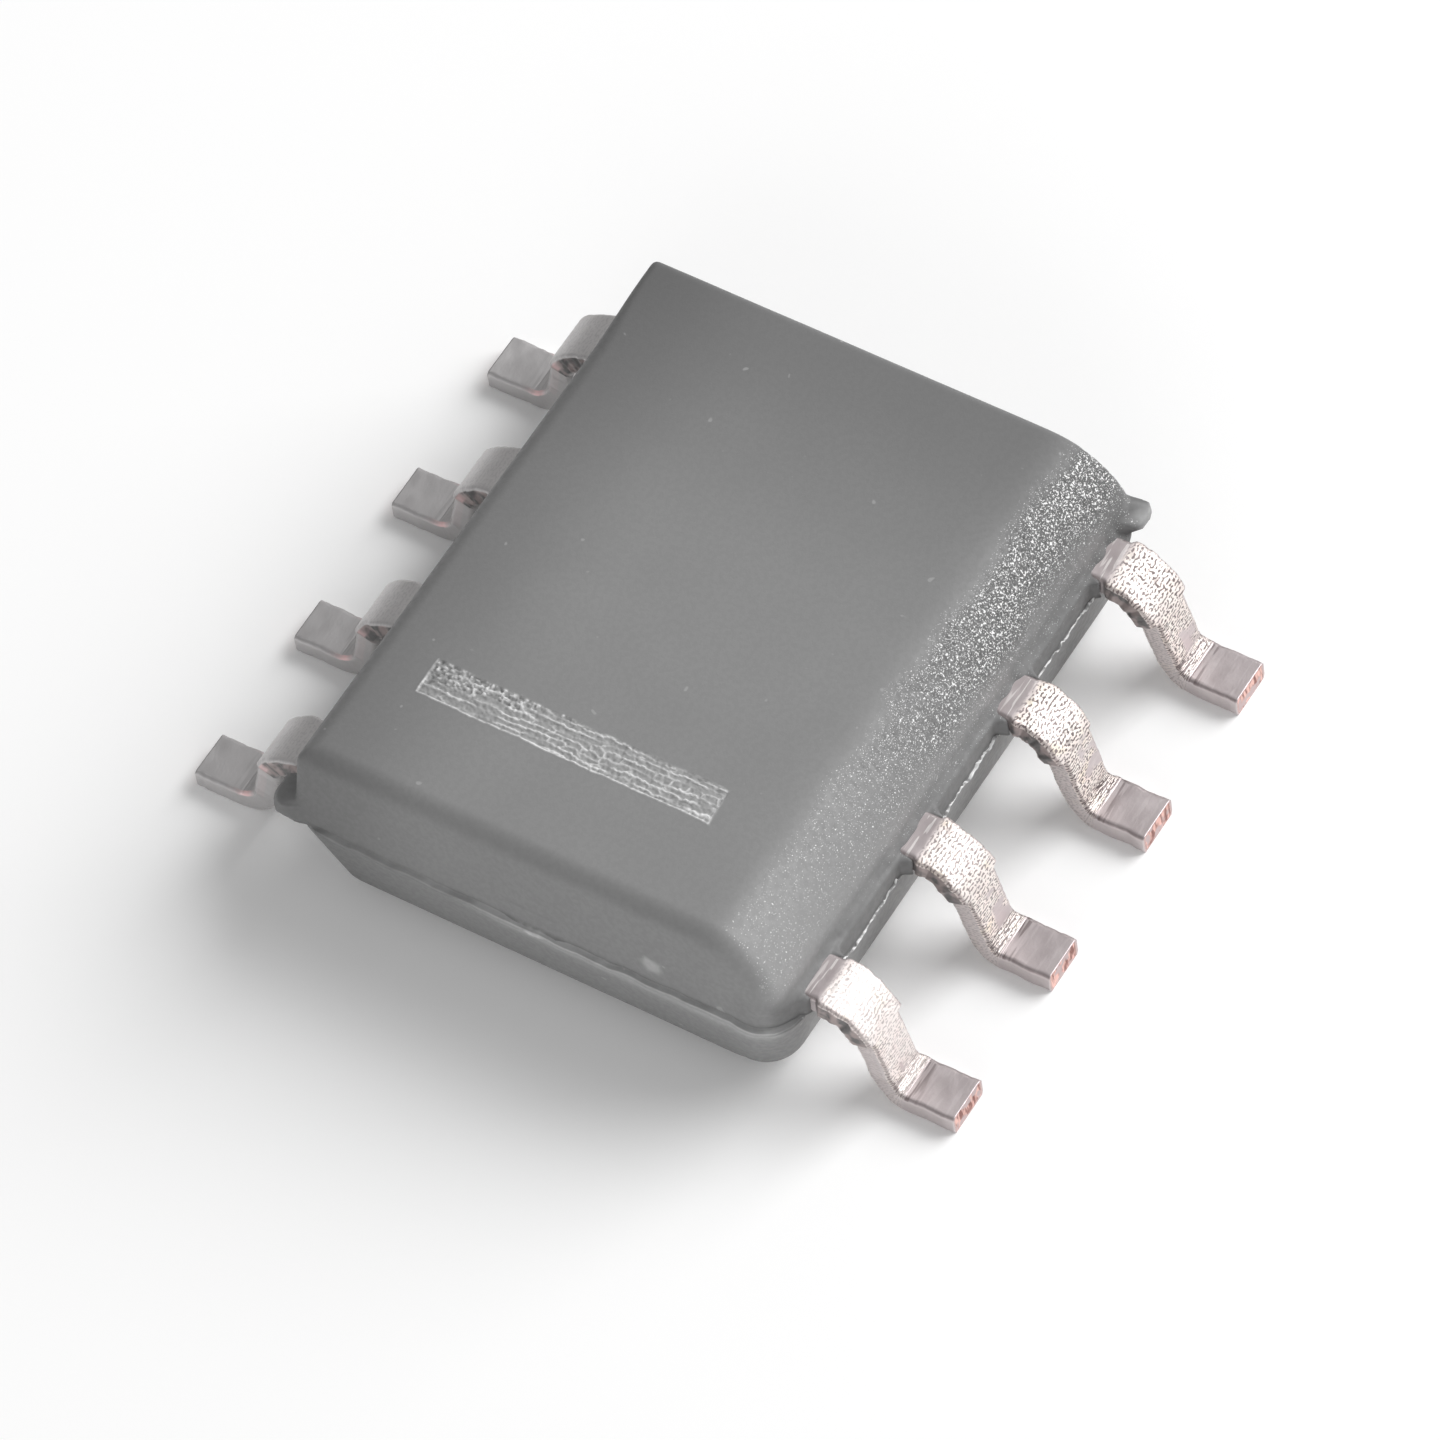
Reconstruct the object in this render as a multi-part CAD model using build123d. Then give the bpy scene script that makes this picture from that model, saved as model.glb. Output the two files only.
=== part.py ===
from build123d import *
import os
from math import radians, tan

# Small outline chip package with eight gull-wing leads.
# The origin is the centre of the package on the plane that its feet stand on.
# X runs along the body, with the pin 1 end at -X, and Z is up.
# Pins 1 to 4 stand on the bevelled -Y side, and pins 5 to 8 come back along +Y.

# Moulded body, with its plan sizes at the plane where the two halves of the mould part
body_length = 4.88
body_width = 3.94
package_height = 1.55
standoff = 0.12
frame_height = 0.87
parting_ledge = 0.04
upper_draft = 6.0
lower_draft = 12.5
lower_corner_radius = 0.30
upper_corner_radius = 0.04
top_edge_radius = 0.14
bottom_edge_chamfer = 0.04
bevel_run = 0.43
bevel_drop = 0.47
bevel_crown = 0.075

# Marks of the mould: flash at the parting plane, ears at its corners, an ejector pin's dimple underneath
flash_width = 0.025
flash_thickness = 0.03
ear_length = 0.26
ear_width = 0.19
ear_corner_radius = 0.085
ear_from_end = 0.16
ear_thickness = 0.10
ejector_radius = 0.50
ejector_depth = 0.03

# Index bar, etched into the top face across the pin 1 end
index_bar_width = 0.29
index_bar_length = 2.31
index_bar_depth = 0.015
index_bar_from_end = 0.934
index_bar_offset = 0.225

# Leads: stamped from one sheet, then bent down
lead_thickness = 0.18
lead_pitch = 1.27
leads_per_side = 4
lead_span = 6.06
foot_width = 0.37
leg_width = 0.33
root_width = 0.38
shoulder_width = 0.42
dam_bar_gap = 0.08
stub_cut_angle = 20.0
leg_lean = 14.0
foot_length = 0.53
shoulder_bend = 0.35
heel_bend = 0.20

# Lead fingers inside the body
finger_gap = 0.25
middle_pad_width = 0.90
middle_pad_depth = 0.40
corner_pad_width = 0.50
corner_pad_offset = 0.55
corner_pad_depth = 0.42
anchor_hole_radius = 0.08
anchor_hole_inset = 0.20

# Die paddle, set down below the fingers, and its tie bars
paddle_length = 2.90
paddle_width = 2.10
paddle_downset = 0.20
paddle_corner_radius = 0.10
tie_bar_width = 0.35
tie_bar_bend = 0.12
tie_bar_step = 0.35

# Silicon die and the layer that holds it
die_length = 1.80
die_width = 1.30
die_thickness = 0.28
attach_thickness = 0.025
attach_margin = 0.06

# Bond wires, from a ball on the die to a stitch on the finger
wire_diameter = 0.030
ball_radius = 0.038
ball_height = 0.030
loop_height = 0.16
bond_inset = 0.12
die_bond_spread = 0.70
corner_bond_rise = 0.55

# Places that follow from the sizes above
frame_top = frame_height + lead_thickness / 2
parting_height = frame_height - lead_thickness / 2
upper_height = package_height - parting_height
lower_height = parting_height - standoff
upper_slope = tan(radians(upper_draft))
lead_tip = lead_span / 2
heel_corner = lead_tip - foot_length
shoulder_corner = heel_corner - (frame_height - lead_thickness / 2) * tan(radians(leg_lean))
bend_centre = shoulder_corner - shoulder_bend * tan(radians((90 - leg_lean) / 2))
wall = body_width / 2
end_wall = body_length / 2
top_wall = wall - parting_ledge - upper_height * upper_slope
top_end = end_wall - parting_ledge - upper_height * upper_slope
paddle_top = frame_top - paddle_downset
attach_top = paddle_top + attach_thickness
die_top = attach_top + die_thickness
lead_count = 2 * leads_per_side


def bevel_cutter():
    """A prism that takes off the top corner along the side of the first pins and leaves a crowned face."""
    start = Vector(-top_wall + bevel_run, package_height)
    toe = Vector(-top_wall - bevel_drop * upper_slope, package_height - bevel_drop)
    outward = (toe - start).rotate(Axis.Z, -90).normalized()
    crown = (start + toe) / 2 + outward * bevel_crown
    clear = Vector(toe.X - bevel_run, package_height + bevel_drop)
    outline = [
        ThreePointArc(start, crown, toe),
        Polyline(toe, (clear.X, toe.Y), clear, (start.X, clear.Y), start),
    ]
    return extrude(Plane.YZ * make_face(outline), amount=body_length, both=True)


def upper_half():
    """The half above the lead frame: drafted, bevelled, and rounded round its top."""
    outline = Rectangle(body_length - 2 * parting_ledge, body_width - 2 * parting_ledge)
    half = extrude(Pos(0, 0, parting_height) * outline, amount=upper_height, taper=upper_draft)
    half = half - bevel_cutter()
    top_face = half.faces().sort_by(Axis.Z)[-1]
    bevel_face = half.faces().filter_by(GeomType.CYLINDER)[0]
    shared_edge = bevel_face.edges().sort_by(Axis.Z)[-1]
    rim = [edge for edge in top_face.edges() if edge.center() != shared_edge.center()]
    bevel_ends = [edge for edge in bevel_face.edges() if edge.geom_type != GeomType.LINE]
    half = fillet(rim + bevel_ends, top_edge_radius)
    uprights = [edge for edge in half.edges() if at_upright_corner(edge)]
    return fillet(uprights, upper_corner_radius)


def at_upright_corner(edge):
    """Whether an edge of the upper half runs up one of its two square corners, away from the bevel."""
    middle = edge.center()
    return abs(middle.X) > top_end and middle.Y > top_wall and edge.length > upper_height / 2


def lower_half():
    """The half below the lead frame, with rounder corners and an ejector pin's dimple."""
    outline = RectangleRounded(body_length, body_width, lower_corner_radius)
    half = extrude(Pos(0, 0, parting_height) * outline, amount=-lower_height, taper=lower_draft)
    half = chamfer(half.faces().sort_by(Axis.Z)[0].edges(), bottom_edge_chamfer)
    dimple = Pos(0, 0, standoff) * Cylinder(
        ejector_radius, ejector_depth, align=(Align.CENTER, Align.CENTER, Align.MIN)
    )
    return half - dimple


def flash():
    """What the mould leaves at its parting plane: a thin line, corner ears, and resin between the leads."""
    line = extrude(
        Pos(0, 0, parting_height - flash_thickness / 2)
        * RectangleRounded(body_length + 2 * flash_width, body_width + 2 * flash_width, lower_corner_radius),
        amount=flash_thickness,
    )
    ear_outline = RectangleRounded(ear_length, ear_width, ear_corner_radius)
    ear = extrude(Pos(0, 0, frame_top) * ear_outline, amount=-ear_thickness)
    ears = [
        Pos(end * (end_wall - ear_from_end), side * wall, 0) * ear for end in (-1, 1) for side in (-1, 1)
    ]
    web = extrude(
        Pos(0, 0, parting_height) * Rectangle(body_length - 2 * lower_corner_radius, body_width),
        amount=lead_thickness,
    )
    return [line, web] + ears


def index_bar():
    block = Box(index_bar_width, index_bar_length, 2 * index_bar_depth)
    return Pos(index_bar_from_end - top_end, index_bar_offset, package_height) * block


def mold_body(inner_pieces):
    """The moulding, which fills every gap round the frame, the die and the wires."""
    body = upper_half() + [lower_half()] + flash() - index_bar()
    for piece in inner_pieces:
        body = body - piece
    return body


def lead_place(number):
    """Where a pin stands: its X, and the side of the body that it leaves."""
    step = number - 1 if number <= leads_per_side else lead_count - number
    x = (step - (leads_per_side - 1) / 2) * lead_pitch
    side = -1 if number <= leads_per_side else 1
    return x, side


def is_corner(x):
    return abs(x) > (leads_per_side / 2 - 1) * lead_pitch


def finger_pad(x):
    """Middle X, inner edge, width and depth of the pad at a finger's inner end, for a lead on the +Y side."""
    if is_corner(x):
        inner_x = paddle_length / 2 + finger_gap
        middle = (inner_x + corner_pad_width / 2) * (1 if x > 0 else -1)
        return middle, corner_pad_offset, corner_pad_width, corner_pad_depth
    return x, paddle_width / 2 + finger_gap, middle_pad_width, middle_pad_depth


def lead_band():
    """The lead's side profile, from its finger to its tip, as wide as the widest finger."""
    centre_line = FilletPolyline(
        (0, frame_height),
        (shoulder_corner, frame_height),
        (heel_corner, lead_thickness / 2),
        (lead_tip, lead_thickness / 2),
        radius=[shoulder_bend, heel_bend],
    )
    return extrude(Plane.YZ * trace(centre_line, lead_thickness), amount=body_length, both=True)


def finger_outline(x):
    """The flat part of a lead on the +Y side, seen from above: pad, and root with its anchor hole."""
    pad_x, pad_y, pad_width, pad_depth = finger_pad(x)
    root_end = wall + dam_bar_gap
    pad = Pos(pad_x, pad_y + pad_depth / 2) * Rectangle(pad_width, pad_depth)
    root = Pos(x, (pad_y + root_end) / 2) * Rectangle(root_width, root_end - pad_y)
    hole = Pos(x, wall - anchor_hole_inset) * Circle(anchor_hole_radius)
    return extrude(pad + root - hole, amount=package_height)


def dam_bar_stubs(x):
    """The wide stretch where the dam bar was cut away, ending square to the sheet partway round the bend."""
    start = wall + dam_bar_gap
    wide = Pos(x, start) * Rectangle(shoulder_width, lead_span, align=(Align.CENTER, Align.MIN))
    above_cut = Plane.YZ * Pos(bend_centre, frame_height - shoulder_bend) * Rot(0, 0, stub_cut_angle)
    above_cut = above_cut * Rectangle(lead_span, lead_span, align=(Align.CENTER, Align.MIN))
    return extrude(wide, amount=package_height) & extrude(above_cut, amount=body_length, both=True)


def leg_outline(x):
    """The leg and foot seen from the front, the leg a little narrower than the foot."""
    half_widths = [
        (leg_width / 2, frame_top),
        (leg_width / 2, lead_thickness + heel_bend),
        (foot_width / 2, lead_thickness),
        (foot_width / 2, -lead_thickness),
    ]
    points = half_widths + [(-half_width, z) for half_width, z in reversed(half_widths)]
    outline = Pos(x, 0, 0) * Plane.XZ * make_face(Polyline(*points, close=True))
    return extrude(Pos(0, wall + dam_bar_gap, 0) * outline, amount=-lead_span)


def lead(number):
    """One lead: the side profile cut to the outlines of its stretches, turned to its own side."""
    x, side = lead_place(number)
    local_x = x * side
    solid = lead_band() & (finger_outline(local_x) + dam_bar_stubs(local_x) + leg_outline(local_x))
    turn = 0 if side > 0 else 180
    return Rot(0, 0, turn) * solid


def end_face():
    """The plane of the upper half's drafted end at +X."""
    foot = (end_wall - parting_ledge, 0, parting_height)
    return Plane(origin=foot, z_dir=Vector(1, 0, 0).rotate(Axis.Y, -upper_draft))


def die_paddle():
    """The paddle below the frame, with a tie bar that steps up to each end face and is cut flush with it."""
    paddle_mid = paddle_top - lead_thickness / 2
    plate = extrude(
        Pos(0, 0, paddle_top) * RectangleRounded(paddle_length, paddle_width, paddle_corner_radius),
        amount=-lead_thickness,
    )
    step_start = paddle_length / 2 + (end_wall - paddle_length / 2 - tie_bar_step) / 2
    side_line = FilletPolyline(
        (0, paddle_mid),
        (step_start, paddle_mid),
        (step_start + tie_bar_step, frame_height),
        (end_wall, frame_height),
        radius=[tie_bar_bend, tie_bar_bend],
    )
    bar = extrude(Plane.XZ * trace(side_line, lead_thickness), amount=tie_bar_width / 2, both=True)
    bar = split(bar, bisect_by=end_face(), keep=Keep.BOTTOM)
    return plate + [bar, Rot(0, 0, 180) * bar]


def die_attach():
    outline = Rectangle(die_length + 2 * attach_margin, die_width + 2 * attach_margin)
    return extrude(Pos(0, 0, paddle_top) * outline, amount=attach_thickness)


def silicon_die():
    return extrude(Pos(0, 0, attach_top) * Rectangle(die_length, die_width), amount=die_thickness)


def bond_ends(x):
    """Where a wire starts on the die and lands on its finger, for a lead on the +Y side."""
    pad_x, pad_y, pad_width, pad_depth = finger_pad(x)
    if is_corner(x):
        towards = 1 if x > 0 else -1
        start = (towards * (die_length / 2 - bond_inset), (die_width / 2 - bond_inset) * corner_bond_rise)
        landing = (pad_x, pad_y + pad_depth / 2)
    else:
        start = (x * die_bond_spread, die_width / 2 - bond_inset)
        landing = (x, pad_y + bond_inset)
    return start, landing


def bond_wire(number, its_lead):
    """A wire that rises from a squashed ball on the die and slopes to its finger, trimmed where it lands."""
    x, side = lead_place(number)
    start, landing = bond_ends(x * side)
    route = Polyline(
        (start[0], start[1], die_top + ball_height),
        (start[0], start[1], die_top + loop_height),
        (landing[0], landing[1], frame_top - wire_diameter / 2),
    )
    section = Plane(origin=route @ 0, z_dir=route % 0) * Circle(wire_diameter / 2)
    ball = Pos(start[0], start[1], die_top) * Cone(
        ball_radius, wire_diameter / 2, ball_height, align=(Align.CENTER, Align.CENTER, Align.MIN)
    )
    turn = 0 if side > 0 else 180
    return Rot(0, 0, turn) * (sweep(section, path=route, transition=Transition.RIGHT) + ball) - its_lead


def build():
    numbers = range(1, lead_count + 1)
    pieces = {f"lead_{number}": lead(number) for number in numbers}
    wires = {f"bond_wire_{number}": bond_wire(number, pieces[f"lead_{number}"]) for number in numbers}
    pieces.update(wires)
    pieces["die_paddle"] = die_paddle()
    pieces["die_attach"] = die_attach()
    pieces["silicon_die"] = silicon_die()
    pieces["mold_body"] = mold_body(list(pieces.values()))
    return pieces


os.makedirs("parts", exist_ok=True)
for node, shape in build().items():
    export_step(shape, f"parts/{node}.step")
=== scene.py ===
from math import cos, pi, radians, sin, tan

import bpy
import numpy as np
from mathutils import Matrix, Vector
from mathutils.geometry import delaunay_2d_cdt


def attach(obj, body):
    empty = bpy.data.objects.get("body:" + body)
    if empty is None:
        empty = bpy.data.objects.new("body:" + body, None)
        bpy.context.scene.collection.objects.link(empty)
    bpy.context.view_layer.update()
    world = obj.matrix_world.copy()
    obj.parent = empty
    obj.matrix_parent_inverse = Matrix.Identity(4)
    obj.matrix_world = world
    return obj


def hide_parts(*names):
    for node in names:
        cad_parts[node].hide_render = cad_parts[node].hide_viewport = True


# Small outline chip: looks for the moulded body and its eight gull-wing leads.
# Lengths are in millimetres, in the frame's own axes, and become metres where a mesh or an object is made.
MM = 0.001

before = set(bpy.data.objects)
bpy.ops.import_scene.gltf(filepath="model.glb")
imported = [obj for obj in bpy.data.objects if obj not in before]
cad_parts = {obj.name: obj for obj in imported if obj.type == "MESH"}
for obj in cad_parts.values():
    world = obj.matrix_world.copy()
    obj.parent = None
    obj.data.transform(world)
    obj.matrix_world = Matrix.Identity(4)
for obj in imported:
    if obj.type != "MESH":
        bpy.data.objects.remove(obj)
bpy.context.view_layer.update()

# Camera, at the photograph's viewing angle
CAMERA_PLACE = (-32.148, -26.341, 59.877)
CAMERA_RIGHT = (0.51693, -0.85043, -0.09775)
CAMERA_UP = (0.73346, 0.38115, 0.56281)
CAMERA_LENS = 265.7
CAMERA_SENSOR = 36.0

# Light: the world's strength, and for each lamp its place and the irradiance that it gives a level surface
WORLD_STRENGTH = 0.32
KEY_PLACE = (118, -84, 115)
KEY_LEVEL = 2.32
FILL_PLACE = (-150, -60, 45)
FILL_LEVEL = 0.28
LAMP_SIZE = 150
FLOOR_HALF = 400
FLOOR_COLOUR = 0.94
FLOOR_GLOW = 0.066

# Moulded body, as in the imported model
BODY_HALF_LENGTH = 2.44
BODY_HALF_WIDTH = 1.97
TOP = 1.55
STANDOFF = 0.12
PARTING = 0.78
FRAME_TOP = 0.96
LEDGE = 0.04
UPPER_SLOPE = tan(radians(6.0))
LOWER_SLOPE = tan(radians(12.5))
TOP_EDGE_RADIUS = 0.14
SHARP_CORNER_RADIUS = 0.05
ROUND_CORNER_RADIUS = 0.26
LOWER_CORNER_RADIUS = 0.30
BOTTOM_EDGE_RADIUS = 0.05
BEVEL_START = (-1.419, 1.55)
BEVEL_CROWN = (-1.711, 1.369)
BEVEL_TOE = (-1.898, 1.08)
WEB_HALF_LENGTH = 2.13
TIE_BAR_HALF = 0.175
DIMPLE_RADIUS = 0.50
DIMPLE_DEPTH = 0.03

# Lumps of flash at the corners, and the ragged fin of it along the bevelled side
EAR_MIDDLE = 2.28
EAR_HALF_LENGTH = 0.13
EAR_HALF_WIDTH = 0.095
EAR_HALF_THICKNESS = 0.06
FLASH_HALF_LENGTH = 2.16
FLASH_REACH = 0.020
FLASH_HALF_THICKNESS = 0.0050
FLASH_STEP = 0.007
FLASH_SAG = 0.03

# Index bar: its middle, half width and half length, its depth, and how far apart its ridges run
BAR_MIDDLE = (-1.385, 0.225)
BAR_HALF = (0.145, 1.155)
BAR_DEPTH = 0.015
BAR_ROW = 0.048

# Leads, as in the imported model
PITCH = 1.27
THICKNESS = 0.18
FRAME_HEIGHT = 0.87
LEAD_TIP = 3.03
FOOT_LENGTH = 0.53
LEG_LEAN = radians(14.0)
SHOULDER_BEND = 0.35
HEEL_BEND = 0.20
ROOT_HALF = 0.19
SHOULDER_HALF = 0.21
LEG_HALF = 0.165
FOOT_HALF = 0.185
SHOULDER_START = 2.05
STUB_TURN = radians(70.0)
TURN = pi / 2 - LEG_LEAN

# Inner ends of the leads: where a finger starts, where its pad ends, and the pad's edges or half width
CORNER_FINGER_START = 0.55
CORNER_PAD_END = 0.97
CORNER_PAD = (1.70, 2.20)
MIDDLE_FINGER_START = 1.30
MIDDLE_PAD_END = 1.70
MIDDLE_PAD_HALF = 0.45


# Noise that comes out the same each run
def lattice_value(ix, iy, iz, seed):
    """A fixed pseudo-random number from 0 to 1 for each whole-number cell corner."""
    h = (ix.astype(np.int64) * 73856093) ^ (iy.astype(np.int64) * 19349663)
    h ^= (iz.astype(np.int64) * 83492791) ^ (seed * 2654435761)
    h &= 0xFFFFFFFF
    h = ((h ^ (h >> 15)) * 2246822519) & 0xFFFFFFFF
    h = ((h ^ (h >> 13)) * 3266489917) & 0xFFFFFFFF
    return ((h ^ (h >> 16)) & 0xFFFFFF) / float(0xFFFFFF)


def noise3(points, cells, seed):
    """Smooth noise from -1 to 1 at each point, with one cell size or one for each axis."""
    q = points / np.asarray(cells, float)
    base = np.floor(q)
    f = q - base
    f = f * f * f * (f * (f * 6 - 15) + 10)
    total = np.zeros(len(points))
    for dx in (0, 1):
        for dy in (0, 1):
            for dz in (0, 1):
                weight = (f[:, 0] if dx else 1 - f[:, 0])
                weight = weight * (f[:, 1] if dy else 1 - f[:, 1])
                weight = weight * (f[:, 2] if dz else 1 - f[:, 2])
                total += weight * lattice_value(base[:, 0] + dx, base[:, 1] + dy, base[:, 2] + dz, seed)
    return total * 2 - 1


def fractal(points, cells, seed, octaves=3):
    """Noise with finer and fainter layers on top, still about -1 to 1."""
    total = np.zeros(len(points))
    cells = np.asarray(cells, float)
    for octave in range(octaves):
        total += noise3(points, cells / 2 ** octave, seed + octave) * 0.5 ** octave
    return total / 1.6


def fade(low, high, value):
    """0 below low, 1 above high, smooth in between. Low may be the larger of the two."""
    t = np.clip((value - low) / (high - low), 0, 1)
    return t * t * (3 - 2 * t)


# Mesh helpers
def make_object(name, points, faces, material, attributes=()):
    """A smooth-shaded mesh from points in millimetres, with float attributes for its material."""
    mesh = bpy.data.meshes.new(name)
    mesh.from_pydata((np.asarray(points) * MM).tolist(), [], faces)
    mesh.validate()
    for key, values in dict(attributes).items():
        layer = mesh.attributes.new(key, "FLOAT", "POINT")
        layer.data.foreach_set("value", np.asarray(values, np.float32))
    mesh.polygons.foreach_set("use_smooth", [True] * len(mesh.polygons))
    mesh.materials.append(material)
    obj = bpy.data.objects.new(name, mesh)
    bpy.context.scene.collection.objects.link(obj)
    return obj


def grid_faces(rows, columns, start=0):
    """Quads between rows of points, each row closed on itself."""
    a = np.arange(rows - 1)[:, None] * columns + start
    j = np.arange(columns)[None, :]
    k = (j + 1) % columns
    quads = np.stack([a + j, a + k, a + columns + k, a + columns + j], axis=-1)
    return quads.reshape(-1, 4).tolist()


# Shape of the moulding, as distance functions
def round_max(a, b, radius):
    """Where both surfaces bound the solid, with their shared edge rounded."""
    outside = np.hypot(np.maximum(a + radius, 0), np.maximum(b + radius, 0))
    return np.minimum(np.maximum(a, b) + radius, 0) + outside - radius


def soft_max(a, b, width):
    """The larger of the two, with the crossing blended over that width."""
    h = np.maximum(width - np.abs(a - b), 0) / width
    return np.maximum(a, b) + h * h * width / 4


def soft_min(a, b, width):
    """The smaller of the two, with the crossing blended over that width."""
    return -soft_max(-a, -b, width)


def circle_through(p, q, r):
    """Centre and radius of the circle through three points."""
    p, q, r = (np.array(point) for point in (p, q, r))
    chords = 2 * np.array([q - p, r - p])
    centre = np.linalg.solve(chords, np.array([q @ q - p @ p, r @ r - p @ p]))
    return centre, float(np.hypot(*(centre - p)))


BEVEL_CENTRE, BEVEL_RADIUS = circle_through(BEVEL_START, BEVEL_CROWN, BEVEL_TOE)


def bevel_distance(p):
    """Distance outside the crowned bevel, which goes on level behind its centre and plumb below it."""
    outward = np.minimum(p[:, 1] - BEVEL_CENTRE[0], 0)
    rise = np.maximum(p[:, 2] - BEVEL_CENTRE[1], 0)
    return np.hypot(outward, rise) - BEVEL_RADIUS


def upper_distance(p):
    """The half above the leads: drafted, bevelled along -Y, and rounded round its top."""
    x, y, z = p.T
    off_axis = np.abs(y)
    bleed = 1 + noise3(p * (1, 1, 0), (0.09, 0.5, 1), 14)
    bleed = 0.035 * fade(FRAME_TOP + 0.05, FRAME_TOP + 0.01, z) * bleed
    film = 0.006 * fade(TIE_BAR_HALF + 0.03, TIE_BAR_HALF, off_axis) * fade(FRAME_TOP + 0.02, FRAME_TOP, z)
    groove = np.exp(-((z - PARTING - 0.014) / 0.009) ** 2)
    inset = LEDGE + (z - PARTING) * UPPER_SLOPE
    inset = inset + 0.012 * fade(TIE_BAR_HALF, TIE_BAR_HALF + 0.08, off_axis) * groove
    ends = np.abs(x) - (BODY_HALF_LENGTH - inset) - film
    back = y - (BODY_HALF_WIDTH - inset) - bleed
    front = -y - (BODY_HALF_WIDTH - inset) - bleed
    crown = soft_max(z - TOP, bevel_distance(p), 0.05)
    crown = soft_max(crown, front, 0.07)
    sides = round_max(ends, back, SHARP_CORNER_RADIUS)
    edge = TOP_EDGE_RADIUS - 0.08 * fade(1.4, 2.2, x)
    edge = edge + (ROUND_CORNER_RADIUS - edge) * fade(1.06, 0.86, z) * fade(0, -1, y) * fade(2.2, 1.4, x)
    return round_max(sides, crown, edge)


def lower_distance(p):
    """The half below the parting plane, with rounder corners."""
    x, y, z = p.T
    inset = (PARTING - z) * LOWER_SLOPE
    ends, sides = np.abs(x) - (BODY_HALF_LENGTH - inset), np.abs(y) - (BODY_HALF_WIDTH - inset)
    bottom = round_max(round_max(ends, sides, LOWER_CORNER_RADIUS), STANDOFF - z, BOTTOM_EDGE_RADIUS)
    return round_max(bottom, z - PARTING - 0.004, 0.028)


def web_distance(p):
    """The resin that fills the gap between the leads, up to the dam bar, and creeps out along their sides."""
    x, y, z = p.T
    proud = 0.006 * noise3(p, (0.35, 9, 9), 11) + 0.003 * noise3(p, (0.09, 9, 9), 12)
    from_lead = np.abs(np.mod(x, PITCH) - PITCH / 2)
    lump = 0.075 + 0.045 * noise3(p, (0.6, 9, 0.09), 16)
    creep = lump * np.exp(-((from_lead - ROOT_HALF - 0.012) / 0.030) ** 2) * (np.abs(x) < 2.15)
    sides = np.abs(y) - (BODY_HALF_WIDTH - 0.012 + proud) - creep
    top_wave = 0.008 * noise3(p, (0.22, 9, 9), 13)
    plan = round_max(np.abs(x) - WEB_HALF_LENGTH, sides, 0.05)
    return round_max(plan, z - (FRAME_TOP - 0.012 + top_wave), 0.018)


def ear_distance(p):
    """A lump of flash at each corner, level with the lead frame: hardly any by pin 1, and most by pin 8."""
    x, y, z = p.T
    lumpy = 0.014 * noise3(p, 0.07, 15) + (x < 0) * np.where(y < 0, 0.07, -0.040)
    across = np.abs(np.abs(x) - EAR_MIDDLE) - EAR_HALF_LENGTH
    along = np.abs(np.abs(y) - BODY_HALF_WIDTH) - EAR_HALF_WIDTH
    level = np.abs(z - FRAME_TOP - np.where(x < 0, -0.08, 0.02)) - EAR_HALF_THICKNESS
    plan = round_max(across, along, EAR_HALF_WIDTH - 0.01)
    return round_max(plan, level, EAR_HALF_THICKNESS - 0.005) + lumpy


def body_distance(p):
    """The whole moulding: the two halves, and the resin between the leads that runs into the upper one."""
    flat = round_max(np.minimum(web_distance(p), ear_distance(p)), PARTING - p[:, 2], 0.004)
    upper = round_max(upper_distance(p), PARTING - p[:, 2], 0.004)
    return np.minimum(soft_min(upper, flat, 0.06), lower_distance(p))


def seam_wave(p):
    """How far the parting line strays from level, fading out above and below it."""
    level = p * (1, 1, 0)
    stray = 0.018 * noise3(level, (0.19, 0.19, 1), 21) + 0.008 * noise3(level, (0.06, 0.06, 1), 22)
    return stray * np.exp(-((p[:, 2] - PARTING) / 0.06) ** 2)


def cast(distance, origins, directions, reach=2.0, steps=18):
    """Where rays that start inside meet the surface, found by halving."""
    low = np.zeros(len(origins))
    high = np.full(len(origins), reach)
    for _ in range(steps):
        middle = (low + high) / 2
        inside = distance(origins + directions * middle[:, None]) < 0
        low = np.where(inside, middle, low)
        high = np.where(inside, high, middle)
    return origins + directions * low[:, None]


def surface_normals(distance, p, step=0.004):
    """Outward directions of a distance function's surface."""
    parts = []
    for axis in range(3):
        shift = np.zeros(3)
        shift[axis] = step
        parts.append(distance(p + shift) - distance(p - shift))
    n = np.stack(parts, axis=1)
    return n / np.maximum(np.linalg.norm(n, axis=1, keepdims=True), 1e-9)


# Rays that make the body's skin start on an upright inner rectangle
CORE_X = 2.05
CORE_FRONT = -1.36
CORE_BACK = 1.60
CORE_TOP = 1.02
CORE_BOTTOM = 0.32
FRONT_SPANS = 360
BACK_SPANS = 90
LEFT_SPANS = 120
RIGHT_SPANS = 60
FAN_SPANS = 26
CROWN_RINGS = 66
BASE_RINGS = 8
TOP_STEP = 0.085
BAR_STEP = 0.0082
BAR_MARGIN = 0.035

# Heights of the level rings: by the lead frame, round the parting line, and down the lower wall
FRAME_LEVELS = [1.0, 0.985, 0.975] + [0.970 - 0.0045 * i for i in range(8)]
FRAME_LEVELS += [0.925, 0.90, 0.87, 0.845, 0.825]
SEAM_LEVELS = [0.812, 0.804, 0.798, 0.794, 0.790, 0.787, 0.7845, 0.7825, 0.779, 0.775, 0.768, 0.758]
WALL_LEVELS = [0.74, 0.72, 0.68, 0.62, 0.56, 0.50, 0.44, 0.38]


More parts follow.
